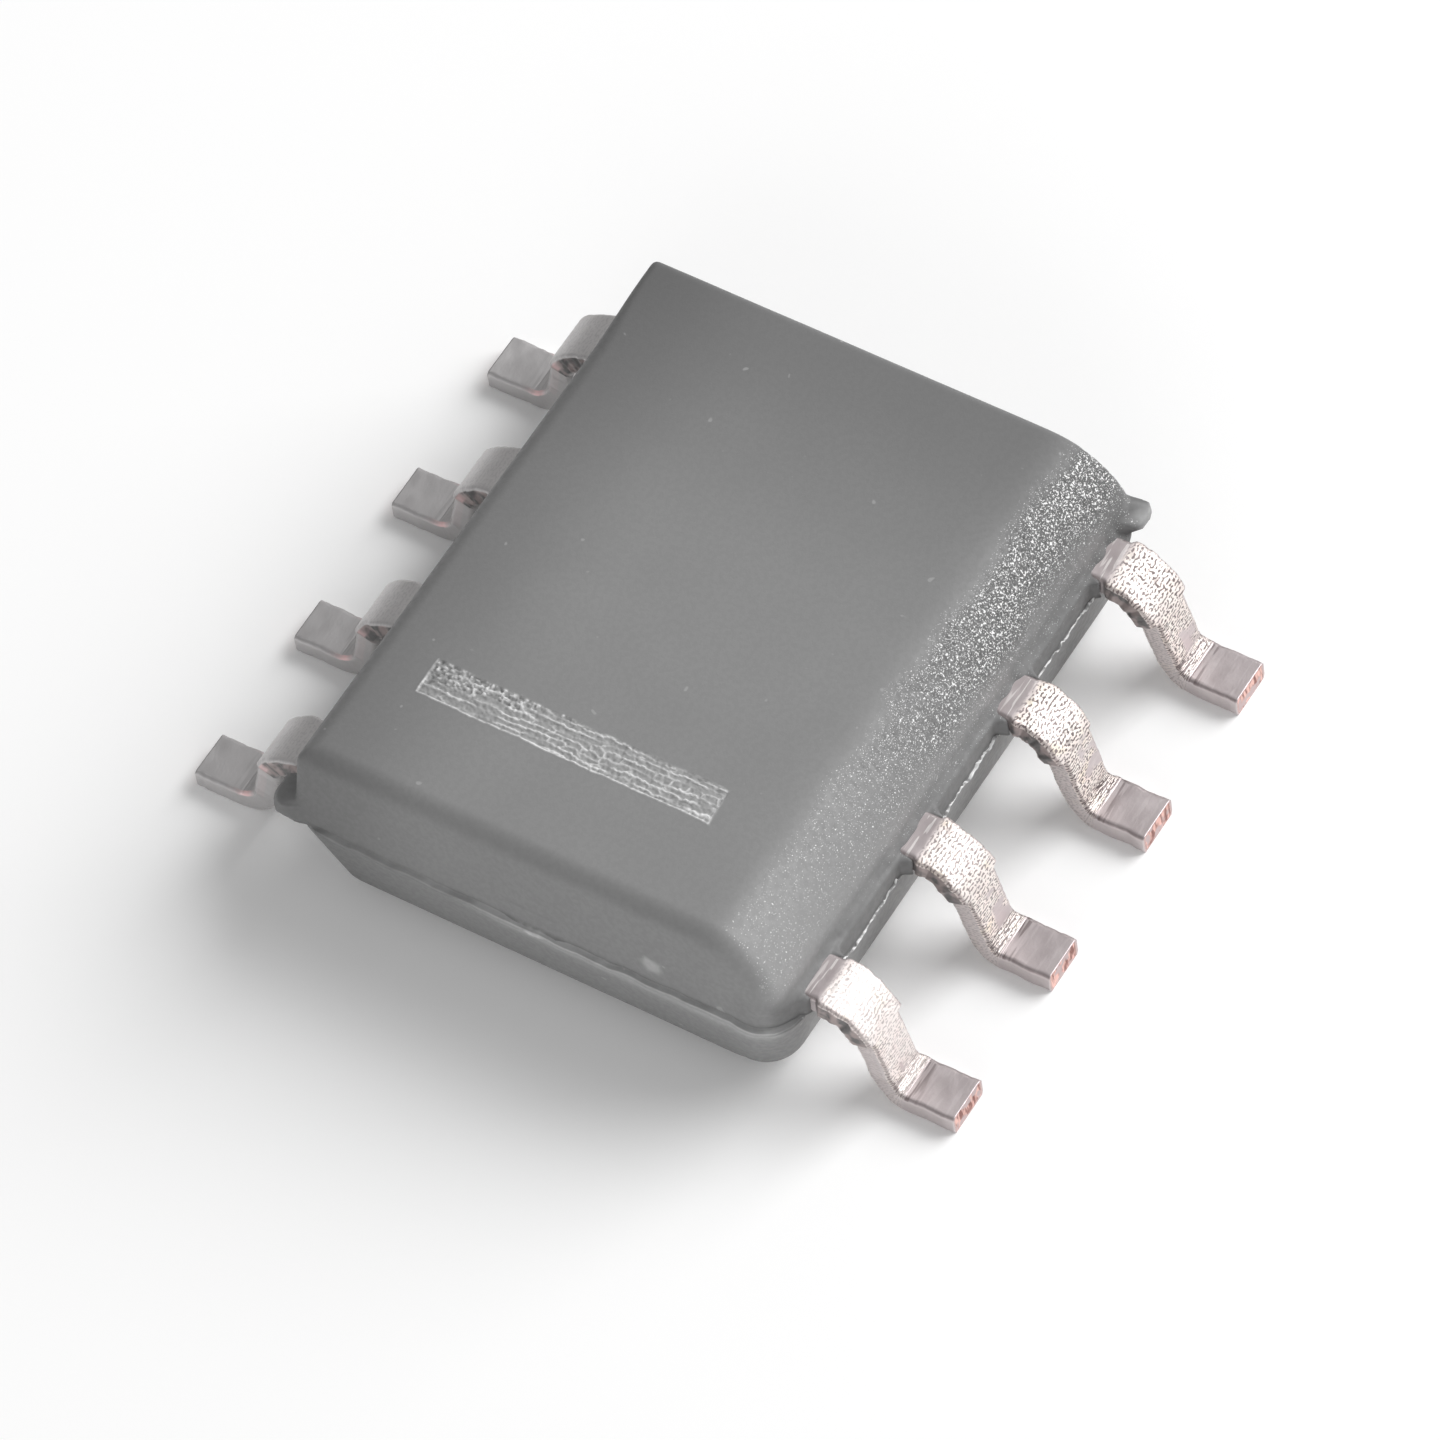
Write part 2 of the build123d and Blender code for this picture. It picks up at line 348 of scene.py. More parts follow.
def core_outline():
    """Start points and directions round the core. A corner's point repeats while its direction turns."""
    corners = [(-CORE_X, CORE_FRONT), (CORE_X, CORE_FRONT), (CORE_X, CORE_BACK), (-CORE_X, CORE_BACK)]
    spans = [FRONT_SPANS, RIGHT_SPANS, BACK_SPANS, LEFT_SPANS]
    starts, directions, shared = [], [], []
    count = 0
    for side, span in enumerate(spans):
        a, b = np.array(corners[side]), np.array(corners[(side + 1) % 4])
        facing = -pi / 2 + side * pi / 2
        for i in range(span):
            starts.append(a + (b - a) * i / span)
            directions.append((cos(facing), sin(facing)))
            shared.append(count + i)
        count += span
        next_corner = count if side < 3 else 0
        for i in range(FAN_SPANS):
            turn = facing + pi / 2 * i / FAN_SPANS
            starts.append(b)
            directions.append((cos(turn), sin(turn)))
            shared.append(next_corner)
    return np.array(starts), np.array(directions), np.array(shared)


def cell_walls(x, y, cells, seed):
    """Distance in millimetres to the nearest wall between long cells, scattered on a jittered grid."""
    cells = np.asarray(cells, float)
    q = np.stack([x, y], axis=1) / cells
    home = np.floor(q).astype(int)

    def centre(corner):
        zero = np.zeros(len(corner), int)
        jitter = [lattice_value(corner[:, 0], corner[:, 1], zero, seed + k) for k in range(2)]
        return corner + 0.5 + np.stack([0.65 * (jitter[0] - 0.5), 0.9 * (jitter[1] - 0.5)], axis=1)

    steps = [(i, j) for i in (-1, 0, 1) for j in (-1, 0, 1)]
    around = np.stack([centre(home + step) for step in steps])
    nearest = np.argmin(np.linalg.norm(around - q, axis=2), axis=0)
    own_corner = home + np.array(steps)[nearest]
    own = centre(own_corner)
    wall = np.full(len(x), 9.0)
    for step in [(i, j) for i in (-2, -1, 0, 1, 2) for j in (-2, -1, 0, 1, 2) if (i, j) != (0, 0)]:
        other = centre(own_corner + step)
        normal = (other - own) / np.linalg.norm(other - own, axis=1, keepdims=True)
        share = np.sum(((own + other) / 2 - q) * normal, axis=1)
        wall = np.minimum(wall, share / np.linalg.norm(normal / cells, axis=1))
    return wall


def etched_bar(x, y):
    """Height of the index bar's crazed floor at each point of the top, and how pale the resin is there."""
    flat = np.stack([x, y, np.zeros_like(x)], axis=1)
    wobble = 0.006 * noise3(flat, (0.12, 0.12, 1), 31) + 0.003 * noise3(flat, (0.035, 0.035, 1), 32)
    across = np.abs(x - BAR_MIDDLE[0]) - BAR_HALF[0] + wobble
    along = np.abs(y - BAR_MIDDLE[1]) - BAR_HALF[1] + wobble
    edge = np.maximum(across, along)
    inside = fade(0.004, -0.008, edge)
    worn = 0.35 + 0.65 * fade(0.03, -0.05, x - BAR_MIDDLE[0])
    lip = np.exp(-((edge + 0.002) / 0.0065) ** 2) * worn
    bend = 0.022 * noise3(flat, (0.11, 0.34, 1), 33) + 0.009 * noise3(flat, (0.07, 0.06, 1), 34)
    bend += 0.005 * noise3(flat, (0.02, 0.02, 1), 45)
    row = (x + bend) / BAR_ROW
    lit = noise3(np.stack([np.round(row) * 3.1, y, 0 * y], axis=1), (1, 0.22, 1), 38)
    ridge = np.exp(-((row - np.round(row)) * BAR_ROW / 0.0058) ** 2) * (0.20 + 0.80 * fade(-0.4, 0.4, lit))
    links = np.exp(-(cell_walls(x + bend, y, (BAR_ROW, 0.13), 36) / 0.0055) ** 2)
    ridge = np.maximum(ridge, 0.6 * links * fade(0.0, 0.5, noise3(flat, (0.08, 0.12, 1), 47)))
    crumbs = noise3(flat, (0.018, 0.024, 1), 35) + 0.6 * noise3(flat, (0.012, 0.013, 1), 37)
    to_corner = (y - BAR_MIDDLE[1]) + 5 * (x - BAR_MIDDLE[0])
    gritty = fade(0.65, 1.10, to_corner + 0.2 * noise3(flat, (0.1, 0.1, 1), 39))
    ridge = np.clip(ridge * (1 - 0.2 * gritty) + 0.7 * gritty * fade(0.25, 0.80, crumbs), 0, 1)
    pits = inside * (0.25 + 0.5 * gritty) * fade(-0.25, -0.80, crumbs)
    height = inside * (-BAR_DEPTH * 0.6 + 0.009 * ridge + 0.003 * crumbs - 0.004 * pits) + lip * 0.005
    bright = np.clip(inside * ridge + lip * (0.75 + 0.5 * crumbs), 0, 1)
    tone = 1 + 0.28 * inside + 2.0 * bright - 0.65 * pits * (1 - bright)
    return height, tone


def past_bevel_end(x, z):
    """How far past the -X end of the pitted bevel, whose border leans."""
    return -x - 2.23 - 0.35 * (1.45 - z)


def grain(p):
    """Height of the spark-eroded texture on the bevel, and how strongly its grains stand out."""
    x, y, z = p.T
    drift = noise3(p, 0.30, 41)
    band = fade(-1.43, -1.58, y + 0.05 * drift) * fade(-0.12, -0.06, bevel_distance(p))
    band = band * (0.16 * fade(0.88, 1.0, z) + 0.84 * fade(0.98, 1.32, z + 0.06 * drift))
    ends = np.maximum(past_bevel_end(x, z), x - 2.44 + 0.30 * fade(1.12, 0.98, z))
    toward_pin_4 = 0.14 + 0.86 * fade(-2.2, 1.2, x + 0.3 * drift)
    strength = band * fade(0.025, -0.025, ends + 0.01 * drift) * toward_pin_4
    bumps = noise3(p, 0.030, 42) + 0.75 * noise3(p, 0.018, 43)
    return 0.005 * strength * bumps, strength


def mottle(p):
    """Slow unevenness of the moulded skin."""
    return 0.0012 * fractal(p, 0.5, 51)


# Pale smudges on the -X end: the middle of each, and its size
SMUDGES = [
    ((-2.37, -0.93, 0.99), 0.075),
    ((-2.42, 0.10, 0.787), 0.04),
    ((-2.42, 0.03, 0.785), 0.045),
    ((-2.42, -0.05, 0.783), 0.035),
]


def skin_tone_and_painted_light(p, normals):
    """How pale the resin is: pale smudges, with painted light on its up-facing ledge, the ear's rim, the -X
    end and the bevel, and painted shade by the leads, in the seam, at the corner below the bevel and on the
    bevel toward +X.
    """
    x, y, z = p.T
    facing_up = normals[:, 2]
    broken = fractal(p, 0.12, 61)
    # painted light: the ledge under the parting line drawn paler where it faces up
    ledge = fade(0.4, 0.8, facing_up) * fade(0.83, 0.80, z) * (0.75 + 0.25 * broken)
    # painted highlight along the outer rim of the +X ear on the -Y side
    from_ear = np.hypot(np.maximum(np.abs(x - EAR_MIDDLE) - 0.045, 0), np.minimum(y + BODY_HALF_WIDTH, 0))
    rim = fade(0.060, 0.085, from_ear) * (x > 2.2) * (y < -1.95) * (z > PARTING + 0.05)
    rim = rim * fade(-0.8, -0.2, noise3(p, 0.04, 62))
    marks = np.maximum(0.70 * ledge, 1.3 * rim)
    for middle, size in SMUDGES:
        away = np.linalg.norm(p - middle, axis=1)
        marks = np.maximum(marks, 0.7 * fade(size * 1.3, size * 0.3, away + 0.7 * size * broken))

    # The -X end, paler as painted light: painted shade in a wider seam, a pale lip of painted light under it
    # with a paler band below, and painted shade on the smooth corner below the bevel
    end_face = fade(-2.28, -2.36, x)
    wide = fade(-2.25, -2.34, x) * fade(1.2, 0.2, y)
    seam = np.exp(-((z - PARTING - 0.016 - 0.006 * wide) / (0.014 + 0.009 * wide)) ** 2)
    seam = seam * fade(0.8, 0.3, facing_up) * (1 + 0.3 * wide)
    painted_light_below_seam = end_face * (z < PARTING) * fade(0.57, 0.70, z + 0.03 * broken) * fade(0.7, 0.1, y)
    lip = end_face * (z < PARTING) * fade(0.685, 0.725, z + 0.03 * broken) * fade(0.9, 0.0, y)
    corner = fade(-2.05, -2.20, x) * fade(-1.50, -1.65, y) * fade(1.14, 1.0, z) * (z > PARTING)

    # The bevelled side, with painted light and shade on it, and painted shade by the leads
    bevel = fade(-1.36, -1.52, y) * fade(1.00, 1.20, z)
    bevel_end = fade(0.03, -0.03, past_bevel_end(x, z)) * fade(-1.2, -2.1, x)
    by_leads = fade(-1.80, -1.90, y) * (z > PARTING - 0.02) * fade(1.12, 0.96, z)

    # painted light and shade: the bevel darker toward +X and paler at its -X end, the -X end and the bands
    # under its seam paler, the corner below the bevel darker
    lift = bevel * (0.06 * fade(0.5, -1.2, x) + 0.09 * bevel_end - 0.06)
    lift = lift + 0.05 * end_face + 0.18 * painted_light_below_seam + 0.32 * lip - 0.09 * corner
    return (1 + marks) * (1 + lift) * (1 - 0.32 * by_leads) * (1 - 0.25 * seam)


def body_top(boundary):
    """Points and triangles over the core, dense where the bar is etched."""
    inner = []
    for x in np.arange(-CORE_X + TOP_STEP, CORE_X - TOP_STEP / 2, TOP_STEP):
        for y in np.arange(CORE_FRONT + TOP_STEP, CORE_BACK - TOP_STEP / 2, TOP_STEP):
            if abs(x - BAR_MIDDLE[0]) > BAR_HALF[0] + 0.05 or abs(y - BAR_MIDDLE[1]) > BAR_HALF[1] + 0.05:
                inner.append((x, y))
    xs, ys = (
        np.arange(middle - half - BAR_MARGIN, middle + half + BAR_MARGIN, BAR_STEP)
        for middle, half in zip(BAR_MIDDLE, BAR_HALF)
    )
    inner += [(x, y + (BAR_STEP / 2 if i % 2 else 0)) for i, x in enumerate(xs) for y in ys]
    return fill(boundary, [Vector(p) for p in inner])


def body_base(boundary):
    """Points and triangles under the core, with the ejector pin's dimple."""
    radii = [0.10, 0.25, 0.40, DIMPLE_RADIUS - 0.015, DIMPLE_RADIUS, DIMPLE_RADIUS + 0.015, 0.60]
    turns = np.linspace(0, 2 * pi, 48, endpoint=False)
    inner = [Vector((r * cos(a), r * sin(a))) for r in radii for a in turns]
    inner += [
        Vector((x, y)) for x in np.arange(-1.9, 2.0, 0.2) for y in np.arange(-1.2, 1.5, 0.2)
        if x * x + y * y > 0.45
    ]
    flat, faces = fill(boundary, inner)
    from_middle = np.hypot(flat[:, 0], flat[:, 1])
    sunk = DIMPLE_DEPTH * fade(DIMPLE_RADIUS + 0.007, DIMPLE_RADIUS - 0.007, from_middle)
    return np.column_stack([flat, STANDOFF + sunk]), faces


def fill(boundary, inner):
    """Flat points and triangles that fill an outline and use the inner points."""
    count = len(boundary)
    edges = [(i, (i + 1) % count) for i in range(count)]
    points = [Vector(p) for p in boundary.tolist()] + inner
    points, _, faces, _, _, _ = delaunay_2d_cdt(points, edges, [], 1, 1e-7)
    return np.array([tuple(p) for p in points]), [list(f) for f in faces]


def body_rays(starts, directions):
    """Rays for the rings of the skin: over the edge, down the side, and in under the body."""
    rings = [(CORE_TOP, pi / 2 * (1 - k / CROWN_RINGS)) for k in range(1, CROWN_RINGS + 1)]
    rings += [(z, 0.0) for z in FRAME_LEVELS + SEAM_LEVELS + WALL_LEVELS]
    rings += [(CORE_BOTTOM, -pi / 2 * k / BASE_RINGS) for k in range(BASE_RINGS)]
    origins = np.array([[(x, y, z) for x, y in starts] for z, _ in rings]).reshape(-1, 3)
    rays = np.array([[(dx * cos(a), dy * cos(a), sin(a)) for dx, dy in directions] for _, a in rings])
    return origins, rays.reshape(-1, 3), len(rings)


def join_faces(shared, outer, inner):
    """Quads between a ring and the outline it meets, or triangles where the outline's point repeats."""
    count = len(shared)
    faces = []
    for j in range(count):
        k = (j + 1) % count
        quad = [outer(k), outer(j), inner(j), inner(k)]
        faces.append([int(v) for v in dict.fromkeys(quad)])
    return faces


def mold_body(material):
    """The moulding: an etched top, a skin cast outward from the core, and the underside."""
    starts, directions, shared = core_outline()
    count = len(starts)
    boundary = starts[np.unique(shared, return_index=True)[1]]

    origins, rays, ring_count = body_rays(starts, directions)
    skin = cast(body_distance, origins, rays)
    normals = surface_normals(body_distance, skin)
    height, strength = grain(skin)
    shade = skin_tone_and_painted_light(skin, normals)
    skin = skin + normals * (height + mottle(skin))[:, None]
    skin[:, 2] += seam_wave(skin)

    top, top_faces = body_top(boundary)
    etch_height, etch_tone = etched_bar(top[:, 0], top[:, 1])
    top = np.column_stack([top, np.full(len(top), CORE_TOP)])
    top[:, 2] = cast(body_distance, top, np.tile((0.0, 0.0, 1.0), (len(top), 1)))[:, 2]
    top[:, 2] += etch_height + mottle(top)
    base, base_faces = body_base(boundary)

    first_ring = len(top)
    first_base = first_ring + len(skin)
    last_ring = first_base - count
    faces = top_faces + join_faces(shared, lambda j: shared[j], lambda j: first_ring + j)
    faces += [face[::-1] for face in grid_faces(ring_count, count, first_ring)]
    faces += join_faces(shared, lambda j: last_ring + j, lambda j: first_base + shared[j])
    faces += [[first_base + v for v in reversed(face)] for face in base_faces]
    # tone: the bar's etched marks, and the skin's smudges with its painted light and shade
    attributes = {
        "tone": np.concatenate([etch_tone, shade, np.ones(len(base))]),
        "grain": np.concatenate([np.zeros(len(top)), strength, np.zeros(len(base))]),
    }
    body = make_object("molded_body", np.vstack([top, skin, base]), faces, material, attributes)
    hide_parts("mold_body")
    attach(body, "root")


def parting_flash(material):
    """A thin ragged fin of resin along the foot of the bevelled side, which hangs lower beside each lead."""
    x = np.arange(-FLASH_HALF_LENGTH, FLASH_HALF_LENGTH, FLASH_STEP)
    level = np.column_stack([x, np.full(len(x), -BODY_HALF_WIDTH), np.full(len(x), PARTING)])
    ends = fade(FLASH_HALF_LENGTH, FLASH_HALF_LENGTH - 0.1, np.abs(x))
    reach = 0.60 + 0.35 * noise3(level, (0.10, 1, 1), 71) + 0.30 * noise3(level, (0.035, 1, 1), 72)
    reach = FLASH_REACH * np.clip(reach, 0.2, 1) * ends
    half = (FLASH_HALF_THICKNESS + 0.002 * noise3(level, (0.05, 1, 1), 73)) * np.maximum(ends, 0.1)
    gap_share = np.mod(x - PITCH / 2 - ROOT_HALF, PITCH) / (PITCH - 2 * ROOT_HALF)
    sag = FLASH_SAG * ends * fade(0, 0.10, gap_share) * fade(1.0, 0.1, gap_share)
    layers = ((0.014, 0.10), (0.013, 0.035), (0.009, 0.016))
    jagged = sum(size * noise3(level, (cell, 1, 1), 74 + i) for i, (size, cell) in enumerate(layers))
    middle = PARTING + 0.002 + seam_wave(level) + jagged - sag
    wall = -BODY_HALF_WIDTH + np.maximum(PARTING - middle, 0) * LOWER_SLOPE

    # Each point of the section: how deep in the wall, how high, and its share of the reach
    outer = [(0, -1.0, 0.35), (0, -0.6, 0.85), (0, 0, 1), (0, 0.6, 0.85), (0, 1.0, 0.35)]
    section = [(0.03, -1.0, 0), *outer, (0.03, 1.0, 0)]
    lines = [
        np.column_stack([x, wall + inset - reach * share, middle + half * rise])
        for inset, rise, share in section
    ]
    points = np.stack(lines, axis=1).reshape(-1, 3)
    faces = grid_faces(len(x), len(section))
    faces += [list(range(len(section)))[::-1], list(range(len(points) - len(section), len(points)))]
    piece = make_object("parting_flash", points, faces, material)
    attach(piece, "root")


# Leads: steps along and points round the section, its corner radii, and the rows of dashes in the plating
LEAD_STEP = 0.008
FINGER_STEP = 0.12
TOP_POINTS = 34
SIDE_POINTS = 8
BASE_POINTS = 14
CORNER_POINTS = 4
ROLLED_RADIUS = 0.032
SHEARED_RADIUS = 0.014
CAP_RINGS = 7
TIN_ROW = 0.024

# Painted glare, by pin: how much of the crinkle is lost in the light, drawn as whiter tin with fainter dashes
PAINTED_GLARE = {1: 0.60, 2: 0.20}


def stretch(length, step=LEAD_STEP):
    """Even distances along a length, from its start and short of its end."""
    count = max(round(length / step), 1)
    return np.arange(0, length, length / count)[:count]


def lead_line(finger_start):
    """Stations along a lead's middle line: Y, Z, direction below level, distance and bend turn, as arrays."""
    heel_corner = LEAD_TIP - FOOT_LENGTH
    drop = FRAME_HEIGHT - THICKNESS / 2
    shoulder_corner = heel_corner - drop * tan(LEG_LEAN)
    shoulder_reach, heel_reach = SHOULDER_BEND * tan(TURN / 2), HEEL_BEND * tan(TURN / 2)
    bend_start = shoulder_corner - shoulder_reach
    leg = np.hypot(heel_corner - shoulder_corner, drop) - shoulder_reach - heel_reach
    flat_start = BODY_HALF_WIDTH - 0.12
    finger = stretch(flat_start - finger_start, FINGER_STEP)

    rows = [(finger_start + d, FRAME_HEIGHT, 0.0, 0.0) for d in finger]
    rows += [(flat_start + d, FRAME_HEIGHT, 0.0, 0.0) for d in stretch(bend_start - flat_start)]
    for d in stretch(SHOULDER_BEND * TURN):
        a = d / SHOULDER_BEND
        rows.append((bend_start + SHOULDER_BEND * sin(a), FRAME_HEIGHT - SHOULDER_BEND * (1 - cos(a)), a, a))
    leg_y = bend_start + SHOULDER_BEND * sin(TURN)
    leg_z = FRAME_HEIGHT - SHOULDER_BEND * (1 - cos(TURN))
    rows += [(leg_y + d * cos(TURN), leg_z - d * sin(TURN), TURN, TURN) for d in stretch(leg)]
    heel_y = leg_y + leg * cos(TURN)
    for d in stretch(HEEL_BEND * TURN):
        a = TURN - d / HEEL_BEND
        y = heel_y + HEEL_BEND * (sin(TURN) - sin(a))
        rows.append((y, THICKNESS / 2 + HEEL_BEND * (1 - cos(a)), a, 2 * TURN - a))
    foot_start = heel_corner + heel_reach
    rows += [(foot_start + d, THICKNESS / 2, 0.0, 2 * TURN) for d in stretch(LEAD_TIP - foot_start)]
    rows.append((LEAD_TIP, THICKNESS / 2, 0.0, 2 * TURN))
    y, z, direction, bent = np.array(rows).T
    distance = np.concatenate([[0], np.cumsum(np.hypot(np.diff(y), np.diff(z)))])
    return y, z, direction, distance, bent


def section_points():
    """One ring of a lead's section: share across, level, outward direction, radius and kind of face.

    The kind is 0 on top, 0.5 on the rolled edges, 1 on the sides and 2 underneath.
    """
    rows = [(i / (TOP_POINTS - 1), 1, 0, 1, ROLLED_RADIUS, 0) for i in range(TOP_POINTS)]
    for i in range(1, CORNER_POINTS + 1):
        a = pi / 2 * (1 - i / (CORNER_POINTS + 1))
        rows.append((1, 1, cos(a), sin(a), ROLLED_RADIUS, 0.5))
    for i in range(SIDE_POINTS):
        rows.append((1, 1 - 2 * i / (SIDE_POINTS - 1), 1, 0, ROLLED_RADIUS, 1))
    for i in range(BASE_POINTS):
        rows.append((1 - i / (BASE_POINTS - 1), -1, 0, -1, SHEARED_RADIUS, 2))
    for i in range(SIDE_POINTS):
        rows.append((0, -1 + 2 * i / (SIDE_POINTS - 1), -1, 0, ROLLED_RADIUS, 1))
    for i in range(1, CORNER_POINTS + 1):
        a = pi / 2 * i / (CORNER_POINTS + 1)
        rows.append((0, 1, -cos(a), sin(a), ROLLED_RADIUS, 0.5))
    return np.array(rows).T


def finger_edges(x, y):
    """Left and right edges of the part of a lead inside the body, for a lead on the +Y side."""
    if abs(x) > PITCH:
        pad, pad_end = [edge * np.sign(x) for edge in CORNER_PAD], CORNER_PAD_END
    else:
        pad, pad_end = (x - MIDDLE_PAD_HALF, x + MIDDLE_PAD_HALF), MIDDLE_PAD_END
    root = fade(pad_end - 0.01, pad_end + 0.01, y)
    left = min(pad) * (1 - root) + (x - ROOT_HALF) * root
    right = max(pad) * (1 - root) + (x + ROOT_HALF) * root
    return left, right


def lead_widths(x, y, bent, distance, seed):
    """Left and right edges of a lead at each station, and how much of each is a sheared dam-bar stub."""
    pad_end = MIDDLE_PAD_END if abs(x) < PITCH else CORNER_PAD_END
    outer = fade(pad_end, pad_end + 0.03, y)
    edges, stubs = [], []
    for sign, finger in zip((-1, 1), finger_edges(x, y)):
        stations = np.column_stack([distance, np.full(len(y), sign * 3.0 + seed), np.zeros(len(y))])

        def waver(cell, layer):
            return noise3(stations, (cell, 1, 1), seed + layer)

        stub_end = STUB_TURN + 0.05 * noise3(stations[:1] * (0, 1, 0), 1, seed + 5)[0]
        stub = fade(SHOULDER_START - 0.012, SHOULDER_START + 0.02, y) * fade(stub_end + 0.035, stub_end, bent)
        leg = fade(stub_end, stub_end + 0.035, bent)
        foot = fade(TURN + 0.15, 2 * TURN - 0.1, bent)
        half = ROOT_HALF + (SHOULDER_HALF - ROOT_HALF) * stub
        half = half * (1 - leg) + LEG_HALF * leg + (FOOT_HALF - LEG_HALF) * foot
        ragged = 0.011 * waver(0.085, 0) + 0.004 * waver(0.03, 1)
        wavy = 0.0055 * waver(0.12, 2) + 0.0025 * waver(0.04, 12)
        half = half + ragged * stub + wavy * leg
        edges.append(finger * (1 - outer) + (x + sign * half) * outer)
        stubs.append(stub)
    return edges, stubs


def crinkles(far, bent, share, kind, patch):
    """How crinkled the plating is: all over the bends, in patches on the leg, and less on the far leads."""
    on_bend = fade(0.02, 0.16, bent) * fade(TURN + 0.02, TURN - 0.22, bent)
    on_heel = fade(TURN + 0.10, TURN + 0.35, bent) * fade(2 * TURN + 0.001, 2 * TURN - 0.30, bent)
    on_leg = fade(TURN - 0.2, TURN, bent) * fade(TURN + 0.35, TURN + 0.1, bent)
    leg_patch = np.maximum(0.9 * patch, fade(0.48, 0.66, share + 0.12 * (patch - 0.5)))
    rough = np.clip(on_bend + on_heel, 0, 1)[:, None] * (0.85 + 0.15 * patch) + on_leg[:, None] * leg_patch
    rough = rough * np.where(kind == 1, 0.25, 1)
    if far:
        rough = rough * (0.35 + 0.50 * fade(1.0, 1.25, bent) * fade(TURN + 0.55, TURN + 0.25, bent))[:, None]
    return rough


def lead_marks(number, distance, bent, level, kind, patch):
    """How strongly each kind of mark shows at each point: wrinkles, scratches and folds, with painted glare
    and painted pink glints.
    """
    foot_start = distance[np.argmax(bent > 2 * TURN - 0.03)]
    root_end = distance[np.argmax(bent > 0.02)]
    on_top = kind < 1
    painted_glare = PAINTED_GLARE.get(number, 0) * (0.6 + 0.4 * fade(TURN + 0.3, TURN - 0.1, bent))
    by_root = np.exp(-((distance - root_end + 0.04) / 0.06) ** 2)
    # painted pink glints on the far leads: by the heel, and at the stub's end
    by_heel = np.exp(-((distance - foot_start + 0.060) / 0.085) ** 2)[:, None] * (kind == 0.5)
    at_stub_end = np.exp(-((bent - STUB_TURN + 0.10) / 0.15) ** 2)[:, None] * (kind == 1) * (level > 0)
    return {
        "wrinkle": np.exp(-((distance - foot_start) / 0.075) ** 2)[:, None] * on_top,
        "scratch": (0.12 + 0.88 * by_root)[:, None] * on_top,
        "heel": fade(TURN + 0.05, TURN + 0.20, bent)[:, None] * on_top,
        "painted_glare": painted_glare[:, None] * (0.75 + 0.25 * patch),
        "painted_glint": (by_heel + 0.6 * at_stub_end) * (number > 4),
    }


def sheared_tip(edge, x, number, seed):
    """Points over the end of the foot: rough rings that close on its middle and lean back toward the top."""
    middle = np.array([x, LEAD_TIP, THICKNESS / 2])
    rings = []
    for ring in range(1, CAP_RINGS):
        inward = ring / CAP_RINGS
        p = edge + (middle - edge) * inward
        bite = fractal(p * (1, 0, 1) + (0, number * 3.0, 0), (0.045, 1, 0.03), seed + 9, 2)
        p[:, 1] += 0.004 * bite - 0.010 * fade(0.05, THICKNESS, p[:, 2]) * min(inward * 3, 1)
        rings.append(p)
    return np.vstack([*rings, [middle - (0, 0.004, 0)]])


